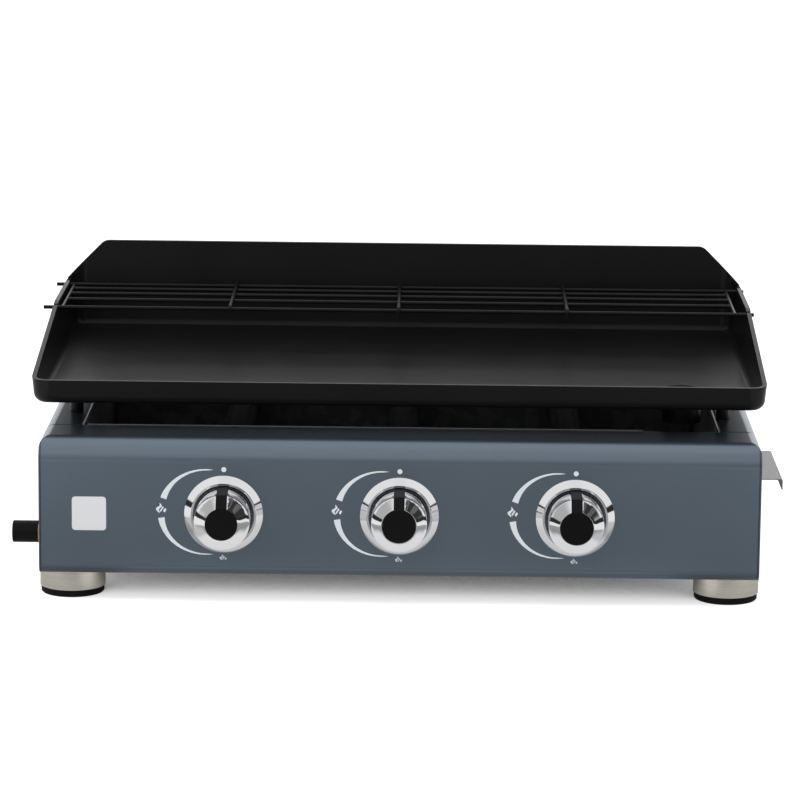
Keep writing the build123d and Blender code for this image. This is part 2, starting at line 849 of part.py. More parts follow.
for x, place in zip(knob_xs, places):
    axis = Axis((x, 0, knob_z), (0, 1, 0))
    side_view = Plane(origin=(x, fascia_y, knob_z), x_dir=(0, 1, 0), z_dir=(1, 0, 0))
    with BuildPart() as knob_body:
        with BuildSketch(Plane(origin=(x, fascia_y, knob_z))):
            with BuildLine():
                Polyline(
                    (hub_bore, knob_back),
                    (hub_radius, knob_back),
                    (hub_radius, cavity_y),
                    (knob_radius - knob_wall, cavity_y),
                    (knob_radius - knob_wall, knob_back),
                    (knob_radius, knob_back),
                    (rim_radius, rim_y),
                    (disc_radius, face_y),
                    (disc_radius, disc_seat),
                    (0, disc_seat),
                    (0, cavity_y),
                    (hub_bore, cavity_y),
                    close=True,
                )
            make_face()
            rim_corner = vertices().sort_by_distance((x + rim_radius, fascia_y + rim_y, knob_z))[0]
            fillet(rim_corner, knob_rim_round)
            pocket_corner = vertices().sort_by_distance((x + disc_radius, fascia_y + face_y, knob_z))[0]
            fillet(pocket_corner, knob_pocket_round)
        revolve(axis=axis)
        with BuildSketch(side_view):
            with BuildLine():
                Polyline(
                    *pointer_inside(pointer_gap),
                    (-knob_reach - pointer_depth, disc_radius - pointer_depth),
                    (-knob_reach - pointer_depth, knob_radius + pointer_depth),
                    (-pointer_back + pointer_gap, knob_radius + pointer_depth),
                    close=True,
                )
            make_face()
        extrude(amount=pointer_width / 2 + pointer_gap, both=True, mode=Mode.SUBTRACT)
    save(knob_body.part, f"knob_body_{place}")

    with BuildPart() as knob_pointer:
        with BuildSketch(facing(fascia_y + disc_seat)):
            with Locations((x, knob_z)):
                Circle(disc_radius - assembly_gap)
        extrude(amount=disc_height)
        with BuildSketch(side_view):
            with BuildLine():
                Polyline(
                    *pointer_inside(0),
                    (-knob_reach, disc_radius - pointer_depth),
                    (-knob_reach, disc_radius),
                    (rim_y - pointer_proud, rim_radius + pointer_proud),
                    (-pointer_back, knob_radius + pointer_proud),
                    close=True,
                )
            make_face()
        extrude(amount=pointer_width / 2, both=True)
    save(knob_pointer.part, f"knob_pointer_{place}")

    with BuildPart() as knob_bezel:
        bore = knob_radius + bezel_bore_gap
        with BuildSketch(Plane(origin=(x, fascia_y, knob_z))):
            with BuildLine():
                Polyline(
                    (bore, 0),
                    (bezel_radius, 0),
                    (bezel_radius, -bezel_edge),
                    (bore + bezel_land, -bezel_height),
                    (bore, -bezel_height),
                    close=True,
                )
            make_face()
            fillet(vertices().group_by(Axis.Y)[0], bezel_round)
        revolve(axis=axis)
        with BuildSketch(facing(fascia_y)):
            with Locations((x, knob_z)):
                with PolarLocations(bezel_pin_circle, bezel_pins, start_angle=90):
                    Circle(bezel_pin_radius)
        extrude(amount=-bezel_pin_length)
    save(knob_bezel.part, f"knob_bezel_{place}")

# Injectors: brass jets on the valve outlets, inside the burner mouths
with BuildPart() as injectors:
    with BuildSketch(facing(outlet_end)):
        with Locations(*[(x, burner_z) for x in knob_xs]):
            RegularPolygon(injector_flats / 2, 6, major_radius=False)
    extrude(amount=-injector_length)
    with BuildSketch(facing(outlet_end)):
        with Locations(*[(x, burner_z) for x in knob_xs]):
            Circle(gas_bore - running_gap)
    extrude(amount=injector_thread)
    with BuildSketch(facing(outlet_end - injector_thread)):
        with Locations(*[(x, burner_z) for x in knob_xs]):
            Circle(injector_jet)
    extrude(amount=-injector_thread - injector_length, mode=Mode.SUBTRACT)
save(injectors.part, "injectors")

# Ignition: piezo units beside the valves, leads, and electrodes in the firewall
piezo_back = valve_y[1]
electrode_y = (firewall_y - electrode_front, firewall_back + electrode_back)
with BuildPart() as piezo_igniters:
    with BuildSketch(facing(piezo_back)):
        with Locations(*[(x + (valve_width + piezo_size) / 2, knob_z) for x in knob_xs]):
            RectangleRounded(piezo_size, piezo_size, thin_sheet)
    extrude(amount=piezo_length)
save(piezo_igniters.part, "piezo_igniters")

with BuildPart() as electrodes:
    for x in knob_xs:
        spot = (x + electrode_offset, knob_z + electrode_rise)
        with BuildSketch(facing(electrode_y[0])):
            with Locations(spot):
                Circle(electrode_radius)
        extrude(amount=electrode_y[0] - electrode_y[1])
        with BuildSketch(facing(firewall_back)):
            with Locations(spot):
                Circle(electrode_flange_radius)
        extrude(amount=-electrode_flange)
        tip_x = x + burner_radius + spark_gap
        with BuildLine():
            wire = FilletPolyline(
                (spot[0], electrode_y[1] - spark_wire, spot[1]),
                (spot[0], electrode_y[1] + spark_reach, spot[1]),
                (tip_x, electrode_y[1] + spark_reach, spot[1]),
                radius=2 * spark_wire,
            )
        with BuildSketch(Plane(origin=wire @ 0, z_dir=wire % 0)):
            Circle(spark_wire)
        sweep(path=wire)
save(electrodes.part, "electrodes")

with BuildPart() as ignition_leads:
    for x in knob_xs:
        start_x = x + (valve_width + piezo_size) / 2
        end_x = x + electrode_offset
        end_z = knob_z + electrode_rise
        with BuildLine():
            route = FilletPolyline(
                (start_x, piezo_back, knob_z),
                (start_x, piezo_back + lead_run, knob_z),
                (end_x, electrode_y[0] - lead_run, end_z),
                (end_x, electrode_y[0], end_z),
                radius=lead_bend,
            )
        with BuildSketch(Plane(origin=route @ 0, z_dir=route % 0)):
            Circle(lead_radius)
        sweep(path=route)
save(ignition_leads.part, "ignition_leads")

# Badge: a blank square plaque
with BuildPart() as badge_plate:
    with BuildSketch(facing(fascia_y)):
        with Locations((badge_x, bottom_z + badge_height)):
            RectangleRounded(badge_size, badge_size, badge_corner)
    extrude(amount=badge_thickness)
    fillet(edges().group_by(Axis.Y)[0], badge_round)
save(badge_plate.part, "badge_plate")

# Griddle plate: a pan with leaning walls, cut to a low lip, rising sides and a tall back
lean = tan(radians(wall_lean))
inner_width = plate_width - 2 * plate_thickness + 2 * lean * plate_thickness
inner_depth = plate_depth - 2 * plate_thickness + 2 * lean * plate_thickness
plate_front_y = plate_mid_y - plate_depth / 2
plate_rear_y = plate_mid_y + plate_depth / 2
inner_corner = plate_corner - plate_thickness
wall_step_y = plate_rear_y + lean * side_wall_height - plate_thickness - inner_corner
level_start_y = wall_step_y - level_length
drain_y = fascia_y + drain_setback
drain_x = plate_shift + plate_width / 2 - drain_inset
rack_ys = [fascia_y + rack_front + sum(rack_gaps[:i]) for i in range(len(rack_gaps) + 1)]
side_top_half = plate_width / 2 + lean * side_wall_height
top_half = side_top_half - back_cut_width
skirt_half = top_half + back_wall_height
with BuildPart() as griddle_plate:
    with BuildSketch(Plane.XY.offset(plate_z)):
        with Locations((plate_shift, plate_mid_y)):
            RectangleRounded(plate_width, plate_depth, plate_corner)
    extrude(amount=back_wall_height, taper=-wall_lean)
    fillet(edges().group_by(Axis.Z)[0], plate_bottom_radius)
    with BuildSketch(Plane.XY.offset(plate_z + plate_thickness)):
        with Locations((plate_shift, plate_mid_y)):
            RectangleRounded(inner_width, inner_depth, inner_corner)
    extrude(amount=back_wall_height, taper=-wall_lean, mode=Mode.SUBTRACT)
    pan_floor = faces().filter_by(Axis.Z).group_by(Axis.Z)[1]
    fillet(pan_floor.edges(), plate_inner_radius)
    with BuildSketch(Plane.YZ):
        with BuildLine():
            Polyline(
                (plate_front_y - plate_width, plate_z),
                (plate_rear_y + plate_width, plate_z),
                (plate_rear_y + plate_width, back_z),
                (wall_step_y, back_z),
                (wall_step_y, side_z),
                (level_start_y, side_z),
                (plate_front_y + plate_thickness, lip_z),
                (plate_front_y - plate_width, lip_z),
                close=True,
            )
        make_face()
    extrude(amount=plate_width, both=True, mode=Mode.INTERSECT)
    with BuildSketch(facing(plate_mid_y)):
        with BuildLine():
            FilletPolyline(
                (plate_shift - skirt_half, plate_z),
                (plate_shift - top_half, back_z),
                (plate_shift + top_half, back_z),
                (plate_shift + skirt_half, plate_z),
                radius=back_cut_radius,
            )
            Line((plate_shift + skirt_half, plate_z), (plate_shift - skirt_half, plate_z))
        make_face()
    extrude(amount=plate_depth, both=True, mode=Mode.INTERSECT)
    with BuildSketch(Plane.XY.offset(plate_z)):
        with Locations((drain_x, drain_y)):
            Circle(drain_radius)
    extrude(amount=2 * plate_thickness, mode=Mode.SUBTRACT)
    with Locations((drain_x, drain_y, plate_z + plate_thickness - drain_chamfer / 2)):
        Cone(drain_radius, drain_radius + drain_chamfer, drain_chamfer, mode=Mode.SUBTRACT)
    with BuildSketch(Plane.YZ):
        for y in (rack_ys[0], rack_ys[-1]):
            with Locations((y, side_z)):
                SlotCenterToCenter(2 * rack_drop, 2 * (rack_wire + lift_gap), rotation=90)
    extrude(amount=plate_width, both=True, mode=Mode.SUBTRACT)
save(griddle_plate.part, "griddle_plate")

with BuildPart() as drain_spout:
    with BuildSketch(Plane.XY.offset(plate_z)):
        with Locations((drain_x, drain_y)):
            Circle(spout_radius)
            Circle(spout_radius - spout_wall, mode=Mode.SUBTRACT)
    extrude(amount=-spout_length)
save(drain_spout.part, "drain_spout")

with BuildPart() as plate_standoffs:
    with BuildSketch(Plane.XY.offset(plate_z)):
        with Locations(*standoffs):
            Circle(standoff_radius)
    extrude(amount=-standoff_height)
    with BuildSketch(Plane.XY.offset(top_z)):
        with Locations(*standoffs):
            Circle(spigot_radius)
    extrude(amount=-spigot_length)
save(plate_standoffs.part, "plate_standoffs")

# Warming rack: long wires in the plate's notches, end wires, and cross wires hooked over both edges
cross_z = rack_z + 2 * rack_wire - rack_weld
hook_offset = 2 * rack_wire + rack_hook_gap
rack_half_length = side_top_half + rack_overhang
rack_end = side_top_half - plate_thickness - rack_end_gap
with BuildPart() as warming_rack:
    for y in rack_ys:
        outer = y in (rack_ys[0], rack_ys[-1])
        half = rack_half_length if outer else rack_end
        with BuildSketch(Plane.YZ.offset(rack_shift - half)):
            with Locations((y, rack_z)):
                Circle(rack_wire)
        extrude(amount=2 * half)
    for side in sides:
        with BuildSketch(facing(rack_ys[0])):
            with Locations((rack_shift + side * rack_end, rack_z)):
                Circle(rack_wire)
        extrude(amount=rack_ys[0] - rack_ys[-1])
    for i in range(rack_cross_wires):
        cross_x = rack_shift + (i - (rack_cross_wires - 1) / 2) * rack_cross_pitch
        with BuildLine(Plane.YZ.offset(cross_x)):
            hook = FilletPolyline(
                (rack_ys[-1] + hook_offset, rack_z - rack_hook_rear),
                (rack_ys[-1] + hook_offset, cross_z),
                (rack_ys[0] - hook_offset, cross_z),
                (rack_ys[0] - hook_offset, rack_z - rack_hook_front),
                radius=rack_hook_radius,
            )
        with BuildSketch(Plane(origin=hook @ 0, z_dir=hook % 0)):
            Circle(rack_wire)
        sweep(path=hook)
save(warming_rack.part, "warming_rack")

# Grease tray: an open box with rims that run on two runners, and a bent handle outside the panel
handle_x = half_width + side_reach
tray_right = panel_x - tray_inset
tray_left = tray_right - tray_length
tray_body_y = (tray_y + tray_rim, tray_y + tray_width - tray_rim)
with BuildPart() as grease_tray:
    block((tray_left, handle_x), (tray_y, tray_y + tray_width), (tray_top - tray_sheet, tray_top))
    block((tray_left, tray_right), tray_body_y, (tray_top - tray_depth, tray_top))
    fillet(edges().filter_by(Axis.Z).filter_by_position(Axis.X, tray_left, tray_right).filter_by_position(
        Axis.Y, tray_body_y[0], tray_body_y[1]), tray_round)
    block(
        (handle_x - tray_sheet, handle_x),
        (tray_y, tray_y + tray_width),
        (tray_top - tray_lip, tray_top),
    )
    fillet(edges().filter_by(Axis.Y).group_by(Axis.X)[-1].group_by(Axis.Z)[-1], tray_lip_round)
    with BuildSketch(Plane.XY.offset(tray_top - tray_depth + tray_sheet)):
        with Locations(((tray_left + tray_right) / 2, (tray_body_y[0] + tray_body_y[1]) / 2)):
            RectangleRounded(
                tray_length - 2 * tray_sheet,
                tray_width - 2 * tray_rim - 2 * tray_sheet,
                tray_round - tray_sheet,
            )
    extrude(amount=tray_depth, mode=Mode.SUBTRACT)
save(grease_tray.part, "grease_tray")

with BuildPart() as tray_runners:
    ledge_top = tray_top - tray_sheet
    ledge = tray_rim - assembly_gap
    for edge, inward in ((tray_y, 1), (tray_y + tray_width, -1)):
        with BuildSketch(Plane.YZ.offset(tray_left)):
            with BuildLine():
                Polyline(
                    (edge + inward * runner_foot, shield_top),
                    (edge, shield_top),
                    (edge, ledge_top),
                    (edge + inward * ledge, ledge_top),
                )
                offset(amount=thin_sheet, side=Side.RIGHT if inward > 0 else Side.LEFT)
            make_face()
        extrude(amount=shield_x - runner_end_gap - tray_left)
save(tray_runners.part, "tray_runners")

# Feet: a stainless cup over a rubber base, held by a bolt from below
with BuildPart() as foot_sleeves:
    with BuildSketch(Plane.XY.offset(pad_height)):
        with Locations(*feet):
            Circle(foot_radius)
    extrude(amount=foot_height - pad_height)
    with BuildSketch(Plane.XY.offset(pad_height)):
        with Locations(*feet):
            Circle(foot_radius - foot_wall)
    extrude(amount=foot_height - pad_height - foot_wall, mode=Mode.SUBTRACT)
    with BuildSketch(Plane.XY.offset(foot_height)):
        with Locations(*feet):
            Circle(bolt_radius + hole_gap)
    extrude(amount=-2 * foot_wall, mode=Mode.SUBTRACT)
save(foot_sleeves.part, "foot_sleeves")

with BuildPart() as foot_pads:
    with BuildSketch():
        with Locations(*feet):
            Circle(foot_radius - foot_wall)
    extrude(amount=pad_height)
    chamfer(edges().group_by(Axis.Z)[0], pad_chamfer)
    with BuildSketch(Plane.XY.offset(pad_height)):
        with Locations(*feet):
            Circle(foot_radius - foot_wall - hole_gap)
    extrude(amount=pad_spigot)
    with BuildSketch():
        with Locations(*feet):
            Circle(bolt_head_radius + hole_gap)
    extrude(amount=bolt_recess + bolt_head, mode=Mode.SUBTRACT)
    with BuildSketch():
        with Locations(*feet):
            Circle(bolt_radius + hole_gap)
    extrude(amount=pad_height + pad_spigot, mode=Mode.SUBTRACT)
save(foot_pads.part, "foot_pads")

with BuildPart() as foot_bolts:
    with BuildSketch(Plane.XY.offset(bolt_recess)):
        with Locations(*feet):
            Circle(bolt_head_radius)
    extrude(amount=bolt_head)
    with BuildSketch(Plane.XY.offset(bolt_recess)):
        with Locations(*feet):
            Circle(bolt_radius)
    extrude(amount=base_top + nut_height - bolt_recess)
    with BuildSketch(Plane.XY.offset(bolt_recess)):
        with Locations(*feet):
            RegularPolygon(bolt_socket, 6)
    extrude(amount=bolt_socket_depth, mode=Mode.SUBTRACT)
save(foot_bolts.part, "foot_bolts")

with BuildPart() as foot_nuts:
    with BuildSketch(Plane.XY.offset(base_top)):
        with Locations(*feet):
            RegularPolygon(nut_width / 2, 6, major_radius=False)
            Circle(bolt_radius + running_gap, mode=Mode.SUBTRACT)
    extrude(amount=nut_height)
save(foot_nuts.part, "foot_nuts")

# Rear screws: socket heads on the rear panel, into the side panels' tabs
with BuildPart() as rear_screws:
    for side in sides:
        row = Location((side * (panel_x - corner_tab / 2), (bottom_z + top_z) / 2))
        with BuildSketch(facing(rear_y)):
            with Locations(row):
                with GridLocations(0, rear_screw_pitch, 1, rear_screw_rows):
                    Circle(screw_head_radius)
        extrude(amount=-screw_head)
        with BuildSketch(facing(rear_y)):
            with Locations(row):
                with GridLocations(0, rear_screw_pitch, 1, rear_screw_rows):
                    Circle(screw_radius)
        extrude(amount=screw_length)
    fillet(edges().group_by(Axis.Y)[-1], screw_head_round)
    with BuildSketch(facing(rear_y + screw_head)):
        for side in sides:
            with Locations((side * (panel_x - corner_tab / 2), (bottom_z + top_z) / 2)):
                with GridLocations(0, rear_screw_pitch, 1, rear_screw_rows):
                    RegularPolygon(screw_socket / 2, 6)
    extrude(amount=screw_socket_depth, mode=Mode.SUBTRACT)
save(rear_screws.part, "rear_screws")
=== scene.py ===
import json
from math import cos, pi, radians, sin

import bmesh
import bpy
from mathutils import Matrix, Vector


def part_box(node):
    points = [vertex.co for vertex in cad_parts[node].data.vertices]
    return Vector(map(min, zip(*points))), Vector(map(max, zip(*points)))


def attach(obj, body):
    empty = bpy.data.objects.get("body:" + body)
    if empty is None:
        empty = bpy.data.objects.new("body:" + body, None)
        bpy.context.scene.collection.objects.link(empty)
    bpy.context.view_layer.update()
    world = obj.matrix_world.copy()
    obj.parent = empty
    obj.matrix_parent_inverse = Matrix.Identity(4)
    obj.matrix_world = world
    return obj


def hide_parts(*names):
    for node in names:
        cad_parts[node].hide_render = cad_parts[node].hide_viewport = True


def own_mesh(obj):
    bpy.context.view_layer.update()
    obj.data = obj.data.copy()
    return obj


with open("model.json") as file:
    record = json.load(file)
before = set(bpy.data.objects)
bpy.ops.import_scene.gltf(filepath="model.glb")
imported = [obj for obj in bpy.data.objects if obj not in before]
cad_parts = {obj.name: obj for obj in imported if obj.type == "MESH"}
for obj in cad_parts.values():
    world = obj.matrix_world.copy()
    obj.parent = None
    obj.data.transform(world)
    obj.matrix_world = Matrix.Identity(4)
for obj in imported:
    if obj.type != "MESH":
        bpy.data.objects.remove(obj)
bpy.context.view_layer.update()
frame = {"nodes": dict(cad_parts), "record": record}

# Units are metres. +X is to the right, +Y to the back, +Z up, and the object stands on Z = 0.
mm = 0.001
scene = bpy.context.scene
scene.view_settings.view_transform = "Standard"
nodes = frame["nodes"]
fascia_low, fascia_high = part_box("front_panel")
fascia_y = fascia_low.y
places = ("left", "centre", "right")


def add_object(name, data):
    """Puts an object with that data into the scene."""
    thing = bpy.data.objects.new(name, data)
    scene.collection.objects.link(thing)
    return thing


# Node helpers

def feed(tree, socket, value):
    """Links a socket to another one, or sets its value."""
    if isinstance(value, bpy.types.NodeSocket):
        tree.links.new(value, socket)
    else:
        socket.default_value = value


def add_node(tree, kind, settings=None, **inputs):
    """Adds a node, sets its options, and links or sets its inputs by name."""
    node = tree.nodes.new("ShaderNode" + kind)
    for option, value in (settings or {}).items():
        setattr(node, option, value)
    for name, value in inputs.items():
        feed(tree, node.inputs[name.replace("_", " ")], value)
    return node


def math_node(tree, operation, *values):
    """One sum of values or sockets."""
    node = add_node(tree, "Math", {"operation": operation})
    for socket, value in zip(node.inputs, values):
        feed(tree, socket, value)
    return node.outputs[0]


def ramp(tree, value, low, high, start=0.0, end=1.0):
    """A value spread smoothly from start to end while the input goes from low to high."""
    node = add_node(
        tree, "MapRange", {"interpolation_type": "SMOOTHSTEP"},
        Value=value, From_Min=low, From_Max=high, To_Min=start, To_Max=end,
    )
    return node.outputs["Result"]


def blend_colours(tree, factor, first, second):
    """A colour between two colours or sockets."""
    node = add_node(tree, "Mix", {"data_type": "RGBA"})
    # A mix of colours has its factor at input 0, its colours at inputs 6 and 7, and its result at output 2
    feed(tree, node.inputs[0], factor)
    for socket, value in zip((node.inputs[6], node.inputs[7]), (first, second)):
        feed(tree, socket, value if isinstance(value, bpy.types.NodeSocket) else (*value, 1))
    return node.outputs[2]


def noise(tree, coords, scale, stretch=(1, 1, 1), detail=4.0):
    """Noise of that many features to the metre, stretched along the axes."""
    mapping = add_node(tree, "Mapping", Vector=coords, Scale=stretch)
    node = add_node(tree, "TexNoise", Vector=mapping.outputs[0], Scale=scale, Detail=detail)
    return node.outputs["Fac"]


# Surface materials

noise_middle = (0.3, 0.7)
fine_share = 0.6
broad_share = 0.4
patch_grain = 14.0
relief_strength = 0.6
edge_radius = 1.2 * mm
edge_turn = (0.995, 0.9)
breakup_grain = 160.0
breakup_start = 0.62
breakup_spread = 0.3
breakup_full = 0.75


def wear_and_shade_edges(tree, coords, strength):
    """How far a spot takes the edge colour: edges, where a rounded normal leaves the true one, broken up by a
    noise. At low strength this is wear; at the fascia's high strength it is a painted dark outline of shade.
    """
    rounded = add_node(tree, "Bevel", {"samples": 4}, Radius=edge_radius).outputs[0]
    flat = add_node(tree, "NewGeometry").outputs["Normal"]
    turned = add_node(tree, "VectorMath", {"operation": "DOT_PRODUCT"})
    feed(tree, turned.inputs[0], rounded)
    feed(tree, turned.inputs[1], flat)
    edge = ramp(tree, turned.outputs["Value"], *edge_turn)
    broken_up = ramp(tree, noise(tree, coords, breakup_grain), breakup_start - breakup_spread * strength, breakup_full)
    return math_node(tree, "MULTIPLY", math_node(tree, "MULTIPLY", edge, broken_up), strength)


def finish(name, colours, rough, grain, bump, edge_wear_and_shade=None, stretch=(1, 1, 1), cells=None, **sockets):
    """A surface material: colour drifting between two tones, roughness and bump from a grain, and an edge
    colour: worn edges on most materials, painted edge shade on the fascia.

    grain is in features to the metre and bump is its depth. The edge wear and shade argument is (colour,
    roughness, strength). cells makes the colour drift a spangle of that many cells to the metre.
    """
    mat = bpy.data.materials.new(name)
    mat.use_nodes = True
    tree = mat.node_tree
    shader = tree.nodes["Principled BSDF"]
    coords = add_node(tree, "TexCoord").outputs["Object"]
    fine = noise(tree, coords, grain, stretch)
    if cells:
        cell = add_node(tree, "TexVoronoi", Vector=coords, Scale=cells).outputs["Color"]
        broad = add_node(tree, "SeparateColor", Color=cell).outputs[0]
    else:
        broad = noise(tree, coords, patch_grain, stretch, detail=6.0)
    colour = blend_colours(tree, ramp(tree, broad, *noise_middle), *colours)
    mixed = math_node(
        tree, "ADD",
        math_node(tree, "MULTIPLY", fine, fine_share),
        math_node(tree, "MULTIPLY", broad, broad_share),
    )
    roughness = ramp(tree, mixed, *noise_middle, *rough)
    if edge_wear_and_shade:
        edge_wear_and_shade_colour, worn_rough, strength = edge_wear_and_shade
        wear_and_shade_share = wear_and_shade_edges(tree, coords, strength)
        colour = blend_colours(tree, wear_and_shade_share, colour, edge_wear_and_shade_colour)
        rubbed_rough = add_node(tree, "MapRange", Value=wear_and_shade_share, To_Min=roughness, To_Max=worn_rough)
        roughness = rubbed_rough.outputs["Result"]
    feed(tree, shader.inputs["Base Color"], colour)
    feed(tree, shader.inputs["Roughness"], roughness)
    relief = add_node(tree, "Bump", Strength=relief_strength, Distance=bump, Height=fine)
    feed(tree, shader.inputs["Normal"], relief.outputs[0])
    for socket, value in sockets.items():
        shader.inputs[socket.replace("_", " ")].default_value = value
    return mat


# Materials by the record's slot

# Near-black painted shade, for the fascia's dark edge outline and its darker lower edge
painted_shade_colour = (0.012, 0.014, 0.016)
slot_looks = {
    # The fascia's edge colour is painted shade: a near-black outline along all its edges, not wear.
    "fascia_paint": finish(
        "blue_grey_paint", colours=((0.147, 0.190, 0.236), (0.153, 0.197, 0.245)), rough=(0.33, 0.39),
        grain=900.0, bump=0.002 * mm, edge_wear_and_shade=(painted_shade_colour, 0.5, 2.0),
        Metallic=0.88, Specular_IOR_Level=0.3, Coat_Weight=0.5, Coat_Roughness=0.06,
    ),
    "black_enamel": finish(
        "black_enamel", colours=((0.0050, 0.0043, 0.0044), (0.0066, 0.0057, 0.0058)), rough=(0.28, 0.35),
        grain=1600.0, bump=0.006 * mm, edge_wear_and_shade=((0.016, 0.0145, 0.0145), 0.34, 0.5), Specular_IOR_Level=0.18,
    ),
    "black_wire": finish(
        "black_wire_coat", colours=((0.005, 0.005, 0.005), (0.008, 0.008, 0.008)), rough=(0.26, 0.36),
        grain=1500.0, bump=0.01 * mm, edge_wear_and_shade=((0.02, 0.02, 0.02), 0.4, 0.4), Specular_IOR_Level=0.18,
    ),
    "chrome": finish(
        "chrome_plate", colours=((0.74, 0.74, 0.75), (0.78, 0.78, 0.79)), rough=(0.03, 0.07),
        grain=260.0, bump=0.0008 * mm, edge_wear_and_shade=((0.9, 0.9, 0.9), 0.1, 0.3), Metallic=1.0,
    ),
    "black_plastic": finish(
        "black_plastic", colours=((0.004, 0.004, 0.0044), (0.006, 0.006, 0.0064)), rough=(0.36, 0.5),
        grain=2600.0, bump=0.008 * mm, edge_wear_and_shade=((0.015, 0.015, 0.015), 0.35, 0.5), Specular_IOR_Level=0.12,
    ),
    "satin_stainless": finish(
        "satin_stainless", colours=((0.58, 0.55, 0.48), (0.65, 0.62, 0.55)), rough=(0.20, 0.28),
        grain=60.0, bump=0.0005 * mm, edge_wear_and_shade=((0.7, 0.68, 0.64), 0.2, 0.6), stretch=(0.3, 0.3, 60.0),
        Metallic=1.0,
    ),
    "tray_steel": finish(
        "brushed_sheet", colours=((0.24, 0.243, 0.248), (0.30, 0.303, 0.308)), rough=(0.28, 0.4),
        grain=60.0, bump=0.02 * mm, edge_wear_and_shade=((0.6, 0.6, 0.6), 0.25, 0.6), stretch=(40.0, 0.4, 40.0),
        Metallic=1.0,
    ),
    "rubber": finish(
        "black_rubber", colours=((0.003, 0.003, 0.003), (0.005, 0.005, 0.005)), rough=(0.6, 0.8),
        grain=1800.0, bump=0.03 * mm, edge_wear_and_shade=((0.01, 0.01, 0.01), 0.7, 0.5), Specular_IOR_Level=0.2,
    ),
    "badge_face": finish(
        "white_lacquer", colours=((0.85, 0.86, 0.88), (0.89, 0.90, 0.92)), rough=(0.16, 0.24),
        grain=900.0, bump=0.002 * mm, edge_wear_and_shade=((0.8, 0.8, 0.8), 0.3, 0.3), Coat_Weight=0.5, Coat_Roughness=0.05,
    ),
    "galvanised_sheet": finish(
        "galvanised_sheet", colours=((0.17, 0.172, 0.178), (0.23, 0.233, 0.24)), rough=(0.42, 0.58),
        grain=900.0, bump=0.01 * mm, edge_wear_and_shade=((0.4, 0.4, 0.4), 0.35, 0.5), cells=90.0, Metallic=0.75,
    ),
    # The burners are given a near-black colour.
    "burner_steel": finish(
        "near_black_burner_steel", colours=((0.004, 0.0039, 0.0037), (0.007, 0.0068, 0.0065)), rough=(0.7, 0.85),
        grain=60.0, bump=0.02 * mm, edge_wear_and_shade=((0.015, 0.014, 0.0135), 0.6, 0.4), stretch=(40.0, 0.6, 40.0),
        Specular_IOR_Level=0.1,
    ),
    "zinc_fixings": finish(
        "zinc_plate", colours=((0.50, 0.51, 0.53), (0.60, 0.61, 0.62)), rough=(0.28, 0.42),
        grain=1400.0, bump=0.01 * mm, edge_wear_and_shade=((0.7, 0.7, 0.7), 0.25, 0.5), Metallic=1.0,
    ),
    "brass": finish(
        "machined_brass", colours=((0.62, 0.43, 0.17), (0.74, 0.53, 0.23)), rough=(0.22, 0.36),
        grain=1500.0, bump=0.01 * mm, edge_wear_and_shade=((0.82, 0.63, 0.32), 0.2, 0.5), Metallic=1.0,
    ),
    "valve_steel": finish(
        "turned_steel", colours=((0.42, 0.42, 0.43), (0.52, 0.52, 0.53)), rough=(0.26, 0.4),
        grain=1500.0, bump=0.01 * mm, edge_wear_and_shade=((0.65, 0.65, 0.65), 0.22, 0.5), Metallic=1.0,
    ),
    "ceramic": finish(
        "glazed_ceramic", colours=((0.72, 0.70, 0.66), (0.80, 0.78, 0.74)), rough=(0.12, 0.24),
        grain=900.0, bump=0.01 * mm, edge_wear_and_shade=((0.6, 0.58, 0.54), 0.4, 0.4), Coat_Weight=0.4, Coat_Roughness=0.05,
    ),
    "lead_sleeve": finish(
        "red_silicone", colours=((0.30, 0.035, 0.028), (0.38, 0.05, 0.04)), rough=(0.45, 0.6),
        grain=1400.0, bump=0.02 * mm,
    ),
}
ink = finish(
    "pale_ink", colours=((0.84, 0.88, 0.92), (0.88, 0.92, 0.95)), rough=(0.4, 0.5),
    grain=1800.0, bump=0.002 * mm,
)

# Painted shade along the fascia's lower edge: its colour darkens towards the bottom
shade_top = fascia_low.z + 10 * mm
shade_full = fascia_low.z + 5 * mm
shade_strength = 0.55
fascia_tree = slot_looks["fascia_paint"].node_tree
fascia_colour_socket = fascia_tree.nodes["Principled BSDF"].inputs["Base Color"]
unshaded_paint = fascia_colour_socket.links[0].from_socket
shade_coords = add_node(fascia_tree, "TexCoord").outputs["Object"]
shade_height = add_node(fascia_tree, "SeparateXYZ", Vector=shade_coords).outputs["Z"]
bottom_shade = ramp(fascia_tree, shade_height, shade_top, shade_full, 0.0, shade_strength)
feed(fascia_tree, fascia_colour_socket, blend_colours(fascia_tree, bottom_shade, unshaded_paint, painted_shade_colour))

for part in frame["record"]["subparts"]:
    nodes[part["node"]].data.materials.clear()
    nodes[part["node"]].data.materials.append(slot_looks[part["material_slot"]])


# Rounded edges on the CAD pieces

weld_reach = 0.002 * mm
sharp_angle = radians(35)


def round_edges(names, width, segments=2):
    """Softens the sharp edges of some nodes."""
    for name in names:
        weld = nodes[name].modifiers.new("weld", "WELD")
        weld.merge_threshold = weld_reach
        bevel = nodes[name].modifiers.new("edge_round", "BEVEL")
        bevel.width = width
        bevel.segments = segments
        bevel.limit_method = "ANGLE"
        bevel.angle_limit = sharp_angle
        bevel.harden_normals = True


round_edges(["griddle_plate"], width=1.3 * mm, segments=3)
round_edges([f"knob_body_{place}" for place in places], width=0.6 * mm, segments=3)
round_edges([f"knob_pointer_{place}" for place in places], width=0.5 * mm)
round_edges(["grease_tray"], width=0.35 * mm)


# Each return spring is copied into an object of its own on the chassis, and the CAD spring is hidden

for place in places:
    spring = add_object(f"spring_coil_{place}", nodes[f"return_spring_{place}"].data.copy())
    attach(spring, "chassis")
    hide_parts(f"return_spring_{place}")
    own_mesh(spring)


